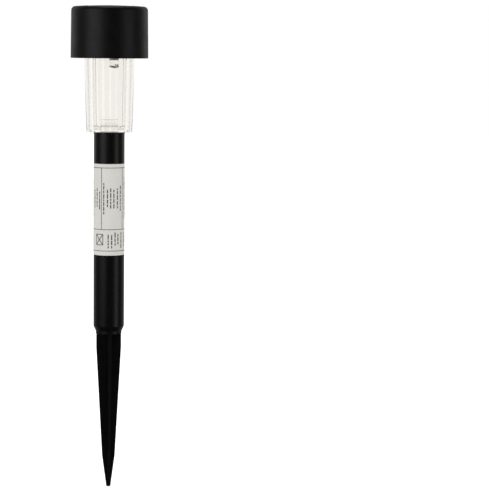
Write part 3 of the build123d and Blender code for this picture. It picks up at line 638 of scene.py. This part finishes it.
# %% Black polypropylene
def black_polypropylene(name, grain, depth, dull, shiny, stretch, level):
    """Black moulded plastic: fine grain, patchy gloss, and a few pale rubs."""
    made, tree, shader, place = finish(name, {"IOR": 1.49, "Specular IOR Level": level})
    drawn = add(tree, "ShaderNodeMapping", {"Vector": place, "Scale": stretch})
    patches = add(tree, "ShaderNodeTexNoise", {"Vector": drawn, "Scale": per_metre(9.0), "Detail": 3.0})
    fine = add(tree, "ShaderNodeTexNoise", {"Vector": place, "Scale": per_metre(grain), "Detail": 2.0})
    rubs = add(tree, "ShaderNodeTexNoise", {
        "Vector": drawn, "Scale": per_metre(3.0), "Detail": 6.0, "Roughness": 0.7,
    })
    black = add(tree, "ShaderNodeMix", {
        "Factor": patches, "A": srgb("#030303"), "B": srgb("#080808"),
    }, data_type="RGBA")
    rubbed_here = add(tree, "ShaderNodeMapRange", {
        "Value": rubs, "From Min": 0.68, "From Max": 0.8, "To Min": 0.0, "To Max": 0.5,
    })
    colour = add(tree, "ShaderNodeMix", {
        "Factor": rubbed_here, "A": black, "B": srgb("#141413"),
    }, data_type="RGBA")
    patchy = add(tree, "ShaderNodeMapRange", {
        "Value": patches, **NOISE_MIDDLE, "To Min": shiny, "To Max": dull,
    })
    grainy = add(tree, "ShaderNodeMapRange", {"Value": fine, **NOISE_MIDDLE, "To Min": -0.03, "To Max": 0.03})
    gloss = add(tree, "ShaderNodeMath", {0: patchy, 1: grainy}, operation="ADD")
    skin = add(tree, "ShaderNodeBump", {"Height": fine, "Distance": depth * MM})
    fill(tree, shader, {"Base Color": colour, "Roughness": gloss, "Normal": skin})
    return made


cap_black = black_polypropylene("black_polypropylene_grained", 0.3, 0.012, 0.5, 0.42, EVEN, 0.4)
pole_black = black_polypropylene("black_polypropylene_drawn", 0.5, 0.006, 0.4, 0.33, LENGTHWISE, 0.42)
spike_black = black_polypropylene("black_polypropylene_flowed", 0.4, 0.008, 0.5, 0.4, CROSSWISE, 0.4)
print("made", cap_black.name, pole_black.name, spike_black.name)

# %% [markdown]
# ## Clear plastics
# The lens is crystal polystyrene, with an index of 1.59 and a polished mould. Moulding leaves it
# very slightly wavy, which makes the edges seen through it shimmer. The LED is clear epoxy, and
# the panel's window is cast epoxy, a little hazy from the sun.


# %% Clear plastics
def clear_plastic(name, light, dark, index, polish, wave, depth):
    """A clear moulding: faint clouds of tint and a slow wave in its skin."""
    made, tree, shader, place = finish(name, {
        "Transmission Weight": 1.0, "IOR": index, "Roughness": polish, "Specular IOR Level": 0.25,
    })
    clouds = add(tree, "ShaderNodeTexNoise", {"Vector": place, "Scale": per_metre(wave / 2), "Detail": 3.0})
    colour = add(tree, "ShaderNodeMix", {
        "Factor": clouds, "A": srgb(light), "B": srgb(dark),
    }, data_type="RGBA")
    swell = add(tree, "ShaderNodeTexNoise", {"Vector": place, "Scale": per_metre(wave), "Detail": 1.0})
    skin = add(tree, "ShaderNodeBump", {"Height": swell, "Distance": depth * MM})
    fill(tree, shader, {"Base Color": colour, "Normal": skin})
    return made


crystal = clear_plastic("crystal_polystyrene", "#fdfcfb", "#f9f8f6", 1.59, 0.0, 7.0, 0.012)
led_epoxy = clear_plastic("clear_epoxy_led", "#fcfcf9", "#f7f7f0", 1.54, 0.0, 3.0, 0.003)
window_epoxy = clear_plastic("cast_epoxy_window", "#f8f7f0", "#f1f0e6", 1.5, 0.06, 6.0, 0.01)
print("made", crystal.name, led_epoxy.name, window_epoxy.name)

# %% [markdown]
# ## Paper and ink
# The label is coated paper, pale warm grey, with a soft fibre mottle and a faint wrinkle from
# being wrapped. The ink is a mid grey that has sunk unevenly into the coating.

# %% Paper
coated_paper, tree, shader, place = finish("coated_paper", {"IOR": 1.45, "Specular IOR Level": 0.35})
fibres = add(tree, "ShaderNodeTexNoise", {"Vector": place, "Scale": per_metre(0.7), "Detail": 5.0})
clouds = add(tree, "ShaderNodeTexNoise", {"Vector": place, "Scale": per_metre(12.0), "Detail": 3.0})
fibre_tint = add(tree, "ShaderNodeMapRange", {"Value": fibres, **NOISE_MIDDLE})
mottled = add(tree, "ShaderNodeMix", {
    "Factor": fibre_tint, "A": srgb("#c4c4c0"), "B": srgb("#cdcdc9"),
}, data_type="RGBA")
cloud_tint = add(tree, "ShaderNodeMapRange", {"Value": clouds, **NOISE_MIDDLE, "To Max": 0.5})
clouded = add(tree, "ShaderNodeMix", {
    "Factor": cloud_tint, "A": mottled, "B": srgb("#c0c0bb"),
}, data_type="RGBA")
gloss = add(tree, "ShaderNodeMapRange", {"Value": clouds, **NOISE_MIDDLE, "To Min": 0.5, "To Max": 0.64})
wrapped = add(tree, "ShaderNodeMapping", {"Vector": place, "Scale": (1, 1, 0.4)})
wrinkles = add(tree, "ShaderNodeTexNoise", {"Vector": wrapped, "Scale": per_metre(9.0), "Detail": 3.0})
creased = add(tree, "ShaderNodeBump", {"Height": wrinkles, "Distance": 0.05 * MM})
skin = add(tree, "ShaderNodeBump", {"Height": fibres, "Distance": 0.006 * MM, "Normal": creased})
fill(tree, shader, {"Base Color": clouded, "Roughness": gloss, "Normal": skin})
print("made", coated_paper.name)

# %% Ink
grey_ink, tree, shader, place = finish("grey_ink", {"IOR": 1.45})
speckle = add(tree, "ShaderNodeTexNoise", {"Vector": place, "Scale": per_metre(0.25), "Detail": 4.0})
sunk = add(tree, "ShaderNodeMapRange", {"Value": speckle, **NOISE_MIDDLE})
colour = add(tree, "ShaderNodeMix", {
    "Factor": sunk, "A": srgb("#363635"), "B": srgb("#52514f"),
}, data_type="RGBA")
gloss = add(tree, "ShaderNodeMapRange", {"Value": speckle, **NOISE_MIDDLE, "To Min": 0.45, "To Max": 0.6})
fill(tree, shader, {"Base Color": colour, "Roughness": gloss})
print("made", grey_ink.name)

# %% [markdown]
# ## Rubber and foam
# The sealing ring is milky silicone, soft and slightly dusty. The pad under the panel is
# closed-cell foam, so its skin shows round cells of about half a millimetre.

# %% Rubber and foam
silicone, tree, shader, place = finish("milky_silicone", {
    "IOR": 1.41, "Subsurface Weight": 0.15, "Subsurface Radius": (MM, MM, MM),
})
dust = add(tree, "ShaderNodeTexNoise", {"Vector": place, "Scale": per_metre(0.8), "Detail": 5.0})
dusty = add(tree, "ShaderNodeMapRange", {"Value": dust, **NOISE_MIDDLE})
colour = add(tree, "ShaderNodeMix", {
    "Factor": dusty, "A": srgb("#b9b8b2"), "B": srgb("#cfcec9"),
}, data_type="RGBA")
gloss = add(tree, "ShaderNodeMapRange", {"Value": dust, **NOISE_MIDDLE, "To Min": 0.45, "To Max": 0.7})
fill(tree, shader, {"Base Color": colour, "Roughness": gloss})

foam, tree, shader, place = finish("closed_cell_foam", {"IOR": 1.4, "Roughness": 0.85})
bubbles = add(tree, "ShaderNodeTexVoronoi", {"Vector": place, "Scale": per_metre(0.5)})
colour = add(tree, "ShaderNodeMix", {
    "Factor": bubbles, "A": srgb("#3a3a3b"), "B": srgb("#1e1e1f"),
}, data_type="RGBA")
skin = add(tree, "ShaderNodeBump", {"Height": bubbles, "Distance": 0.15 * MM}, invert=True)
fill(tree, shader, {"Base Color": colour, "Normal": skin})
print("made", silicone.name, foam.name)


# %% [markdown]
# ## Bands and lines
# Several inner parts carry straight marks: silver fingers on the cells, colour bands on the
# inductor, tinned legs under the chip. `between` gives 1 where a value lies in a range, and
# `stripes` repeats that at a pitch.


# %% Bands and lines
def between(tree, value, low, high):
    """1 where a value lies between two limits, else 0."""
    over = add(tree, "ShaderNodeMath", {0: value, 1: low}, operation="GREATER_THAN")
    under = add(tree, "ShaderNodeMath", {0: value, 1: high}, operation="LESS_THAN")
    return add(tree, "ShaderNodeMath", {0: over, 1: under}, operation="MULTIPLY")


def stripes(tree, value, pitch, width, start):
    """1 on lines of a width that repeat at a pitch, else 0."""
    moved = add(tree, "ShaderNodeMath", {0: value, 1: start - width / 2}, operation="SUBTRACT")
    fold = add(tree, "ShaderNodeMath", {0: moved, 1: pitch}, operation="FLOORED_MODULO")
    return add(tree, "ShaderNodeMath", {0: fold, 1: width}, operation="LESS_THAN")


# %% [markdown]
# ## Solar cells
# The cells are polycrystalline silicon: dark blue, with crystal flakes of about 4 mm that catch
# the light differently. Silver paste is printed on them in fine fingers with two busbars, and
# fires to a matte pale grey, so it isn't given a metal's mirror shine.

# %% Solar cells
FINGER_PITCH = 1.9 * MM
FINGER_WIDTH = 0.22 * MM
BUSBAR_INNER = 6.6 * MM
BUSBAR_OUTER = 7.6 * MM
silicon, tree, shader, place = finish("polycrystalline_silicon", {"IOR": 1.9, "Coat Weight": 0.4})
flakes = add(tree, "ShaderNodeTexVoronoi", {"Vector": place, "Scale": per_metre(4.0)})
tone = add(tree, "ShaderNodeSeparateColor", {"Color": flakes.outputs["Color"]})
blue = add(tree, "ShaderNodeMix", {
    "Factor": tone, "A": srgb("#16265c"), "B": srgb("#33549e"),
}, data_type="RGBA")
across = add(tree, "ShaderNodeSeparateXYZ", {"Vector": place})
from_middle = add(tree, "ShaderNodeMath", {0: across}, operation="ABSOLUTE")
busbars = between(tree, from_middle, BUSBAR_INNER, BUSBAR_OUTER)
fingers = stripes(tree, across, FINGER_PITCH, FINGER_WIDTH, cells_low.x)
silver = add(tree, "ShaderNodeMath", {0: fingers, 1: busbars}, operation="MAXIMUM")
colour = add(tree, "ShaderNodeMix", {
    "Factor": silver, "A": blue, "B": srgb("#c9c9c6"),
}, data_type="RGBA")
gloss = add(tree, "ShaderNodeMapRange", {"Value": tone, "To Min": 0.2, "To Max": 0.42})
skin = add(tree, "ShaderNodeBump", {"Height": silver, "Distance": 0.02 * MM})
fill(tree, shader, {"Base Color": colour, "Roughness": gloss, "Normal": skin})
print("made", silicon.name)

# %% [markdown]
# ## Circuit boards
# Both boards are glass epoxy under green solder mask. The mask is thin and glossy, copper
# tracks raise it and make it lighter, and the bare edge shows the yellowish glass epoxy.

# %% Circuit boards
solder_mask, tree, shader, place = finish("green_solder_mask", {"IOR": 1.5, "Roughness": 0.28})
tracks = add(tree, "ShaderNodeTexBrick", {
    "Vector": place, "Scale": per_metre(10.0), "Mortar Size": 0.055, "Mortar Smooth": 0.0,
    "Brick Width": 0.62, "Row Height": 0.31,
})
weave = add(tree, "ShaderNodeTexNoise", {"Vector": place, "Scale": per_metre(0.6), "Detail": 2.0})
woven = add(tree, "ShaderNodeMapRange", {"Value": weave, **NOISE_MIDDLE})
mask = add(tree, "ShaderNodeMix", {
    "Factor": woven, "A": srgb("#0f4a2c"), "B": srgb("#14552f"),
}, data_type="RGBA")
tracked = add(tree, "ShaderNodeMix", {
    "Factor": tracks.outputs["Fac"], "A": mask, "B": srgb("#2c7a48"),
}, data_type="RGBA")
facing = add(tree, "ShaderNodeNewGeometry", {})
upright = add(tree, "ShaderNodeSeparateXYZ", {"Vector": facing.outputs["Normal"]})
flat = add(tree, "ShaderNodeMath", {0: upright.outputs["Z"]}, operation="ABSOLUTE")
is_face = add(tree, "ShaderNodeMath", {0: flat, 1: 0.5}, operation="GREATER_THAN")
colour = add(tree, "ShaderNodeMix", {
    "Factor": is_face, "A": srgb("#8d8a52"), "B": tracked,
}, data_type="RGBA")
skin = add(tree, "ShaderNodeBump", {"Height": tracks.outputs["Fac"], "Distance": 0.035 * MM})
fill(tree, shader, {"Base Color": colour, "Normal": skin})
print("made", solder_mask.name)


# %% [markdown]
# ## Metals
# The screws and the switch's case are zinc-plated steel, the cell's can is nickel-plated, and
# the contacts, leads and tags are tinned. They differ in tint, and in whether the surface was
# tumbled, rolled or drawn, which shows as even spots, streaks along the can, or upright streaks.


# %% Metals
def plated_metal(name, light, dark, low, high, grain, stretch, depth):
    """A plated metal: streaks of gloss and tint, and a shallow relief."""
    made, tree, shader, place = finish(name, {"Metallic": 1.0})
    drawn = add(tree, "ShaderNodeMapping", {"Vector": place, "Scale": stretch})
    streaks = add(tree, "ShaderNodeTexNoise", {"Vector": drawn, "Scale": per_metre(grain), "Detail": 4.0})
    stains = add(tree, "ShaderNodeTexNoise", {"Vector": place, "Scale": per_metre(4.0), "Detail": 3.0})
    stained = add(tree, "ShaderNodeMapRange", {"Value": stains, **NOISE_MIDDLE})
    colour = add(tree, "ShaderNodeMix", {
        "Factor": stained, "A": srgb(light), "B": srgb(dark),
    }, data_type="RGBA")
    gloss = add(tree, "ShaderNodeMapRange", {
        "Value": streaks, **NOISE_MIDDLE, "To Min": low, "To Max": high,
    })
    skin = add(tree, "ShaderNodeBump", {"Height": streaks, "Distance": depth * MM})
    fill(tree, shader, {"Base Color": colour, "Roughness": gloss, "Normal": skin})
    return made


ROLLED_ALONG_X = (0.1, 1, 1)
zinc = plated_metal("zinc_plated_steel", "#c4c6c6", "#a9abab", 0.28, 0.45, 0.6, EVEN, 0.01)
nickel = plated_metal("nickel_plated_steel", "#cbc7bd", "#b7b2a6", 0.18, 0.32, 0.8, ROLLED_ALONG_X, 0.006)
tin = plated_metal("tinned_steel", "#d2d1cc", "#bcbab4", 0.25, 0.4, 0.5, LENGTHWISE, 0.006)
print("made", zinc.name, nickel.name, tin.name)

# %% [markdown]
# ## Coatings on the small parts
# The cell wears a shrink film with faint pulls along it. The driver chip is grey-black epoxy
# moulding compound with a mineral speckle, on tinned legs. The inductor is dipped in green
# lacquer, with colour bands. The LED's chip lies under a drop of yellow phosphor in silicone.

# %% Shrink film
film_green, tree, shader, place = finish("shrink_film_green", {"IOR": 1.53, "Coat Weight": 0.3})
pulled = add(tree, "ShaderNodeMapping", {"Vector": place, "Scale": (0.08, 1, 1)})
pulls = add(tree, "ShaderNodeTexNoise", {"Vector": pulled, "Scale": per_metre(1.6), "Detail": 3.0})
thin = add(tree, "ShaderNodeMapRange", {"Value": pulls, **NOISE_MIDDLE})
colour = add(tree, "ShaderNodeMix", {
    "Factor": thin, "A": srgb("#1f7a3c"), "B": srgb("#2b8f49"),
}, data_type="RGBA")
gloss = add(tree, "ShaderNodeMapRange", {"Value": pulls, **NOISE_MIDDLE, "To Min": 0.18, "To Max": 0.32})
skin = add(tree, "ShaderNodeBump", {"Height": pulls, "Distance": 0.02 * MM})
fill(tree, shader, {"Base Color": colour, "Roughness": gloss, "Normal": skin})
print("made", film_green.name)

# %% Chip
LEG_HEIGHT = 1.0 * MM
chip_epoxy, tree, shader, place = finish("epoxy_moulding_compound", {"IOR": 1.55})
grit = add(tree, "ShaderNodeTexNoise", {"Vector": place, "Scale": per_metre(0.15), "Detail": 4.0})
speckled = add(tree, "ShaderNodeMapRange", {"Value": grit, **NOISE_MIDDLE})
body_grey = add(tree, "ShaderNodeMix", {
    "Factor": speckled, "A": srgb("#161617"), "B": srgb("#2b2b2c"),
}, data_type="RGBA")
height = add(tree, "ShaderNodeSeparateXYZ", {"Vector": place}).outputs["Z"]
legs = between(tree, height, BOARD_TOP - LEG_HEIGHT, BOARD_TOP + LEG_HEIGHT)
colour = add(tree, "ShaderNodeMix", {
    "Factor": legs, "A": body_grey, "B": srgb("#cfcdc8"),
}, data_type="RGBA")
gloss = add(tree, "ShaderNodeMapRange", {"Value": grit, **NOISE_MIDDLE, "To Min": 0.5, "To Max": 0.68})
skin = add(tree, "ShaderNodeBump", {"Height": grit, "Distance": 0.01 * MM})
fill(tree, shader, {"Base Color": colour, "Metallic": legs, "Roughness": gloss, "Normal": skin})
print("made", chip_epoxy.name)

# %% Inductor
BAND = 0.6 * MM
lacquer, tree, shader, place = finish("green_lacquer", {"IOR": 1.5, "Coat Weight": 0.5})
dip = add(tree, "ShaderNodeTexNoise", {"Vector": place, "Scale": per_metre(1.5), "Detail": 3.0})
thick = add(tree, "ShaderNodeMapRange", {"Value": dip, **NOISE_MIDDLE})
colour = add(tree, "ShaderNodeMix", {
    "Factor": thick, "A": srgb("#4d8a55"), "B": srgb("#5d9a60"),
}, data_type="RGBA")
along_coil = add(tree, "ShaderNodeSeparateXYZ", {"Vector": place})
for part, band_colour in ((0.25, "#5a2f16"), (0.42, "#141414"), (0.59, "#7a1f1a"), (0.8, "#b3b1ab")):
    middle = coil_low.x + (coil_high.x - coil_low.x) * part
    band = between(tree, along_coil, middle - BAND / 2, middle + BAND / 2)
    colour = add(tree, "ShaderNodeMix", {
        "Factor": band, "A": colour, "B": srgb(band_colour),
    }, data_type="RGBA")
gloss = add(tree, "ShaderNodeMapRange", {"Value": dip, **NOISE_MIDDLE, "To Min": 0.2, "To Max": 0.35})
skin = add(tree, "ShaderNodeBump", {"Height": dip, "Distance": 0.04 * MM})
fill(tree, shader, {"Base Color": colour, "Roughness": gloss, "Normal": skin})
print("made", lacquer.name)

# %% Phosphor
phosphor, tree, shader, place = finish("yellow_phosphor_silicone", {"IOR": 1.43, "Roughness": 0.45})
powder = add(tree, "ShaderNodeTexNoise", {"Vector": place, "Scale": per_metre(0.12), "Detail": 3.0})
settled = add(tree, "ShaderNodeMapRange", {"Value": powder, **NOISE_MIDDLE})
colour = add(tree, "ShaderNodeMix", {
    "Factor": settled, "A": srgb("#d9b21c"), "B": srgb("#ecd04a"),
}, data_type="RGBA")
skin = add(tree, "ShaderNodeBump", {"Height": powder, "Distance": 0.01 * MM})
fill(tree, shader, {"Base Color": colour, "Normal": skin})
print("made", phosphor.name)


# %% [markdown]
# ## Wire jackets
# Soft PVC, extruded: glossy, with a faint cloudiness that also gives its skin a shallow relief.


# %% Wire jackets
def wire_jacket(name, light, dark):
    """The soft extruded jacket of a thin wire."""
    made, tree, shader, place = finish(name, {"IOR": 1.53})
    cloud = add(tree, "ShaderNodeTexNoise", {"Vector": place, "Scale": per_metre(1.2), "Detail": 4.0})
    cloudy = add(tree, "ShaderNodeMapRange", {"Value": cloud, **NOISE_MIDDLE})
    colour = add(tree, "ShaderNodeMix", {
        "Factor": cloudy, "A": srgb(light), "B": srgb(dark),
    }, data_type="RGBA")
    gloss = add(tree, "ShaderNodeMapRange", {"Value": cloud, **NOISE_MIDDLE, "To Min": 0.3, "To Max": 0.45})
    skin = add(tree, "ShaderNodeBump", {"Height": cloud, "Distance": 0.02 * MM})
    fill(tree, shader, {"Base Color": colour, "Roughness": gloss, "Normal": skin})
    return made


red_pvc = wire_jacket("soft_pvc_red", "#b01818", "#96100f")
black_pvc = wire_jacket("soft_pvc_black", "#151515", "#0c0c0c")
print("made", red_pvc.name, black_pvc.name)

# %% [markdown]
# ## Dress the pieces
# Each CAD node and each new piece gets its finish by name.

# %% Dress the pieces
dress = {
    cap_black: ["cap_shell"],
    pole_black: ["pole_tube", "base_plate", "switch_knob"],
    spike_black: ["ground_spike"],
    crystal: ["lens"],
    led_epoxy: ["led_lens"],
    window_epoxy: ["panel_window"],
    coated_paper: ["pole_label"],
    silicone: ["sealing_ring"],
    foam: ["panel_foam_pad"],
    solder_mask: ["panel_board", "circuit_board"],
    silicon: ["solar_cells"],
    zinc: ["base_screws", "switch_case"],
    nickel: ["battery_cell"],
    film_green: ["battery_sleeve"],
    tin: ["positive_contact", "negative_contact", "negative_spring", "switch_terminals", "inductor_leads",
          "led_leadframe"],
    chip_epoxy: ["driver_chip"],
    lacquer: ["inductor"],
    phosphor: ["led_chip"],
    red_pvc: ["panel_wire_red", "battery_wire_red"],
    black_pvc: ["panel_wire_black", "battery_wire_black", "switch_wire"],
}
dressed = set()
for material, names in dress.items():
    for name in names:
        node = frame["nodes"][name]
        node.data.materials.clear()
        node.data.materials.append(material)
        dressed.add(name)
for piece, material in ((lens, crystal), (window, window_epoxy), (label_print, grey_ink)):
    piece.data.materials.clear()
    piece.data.materials.append(material)
print("dressed", len(dressed), "nodes, left out:", sorted(set(frame["nodes"]) - dressed))
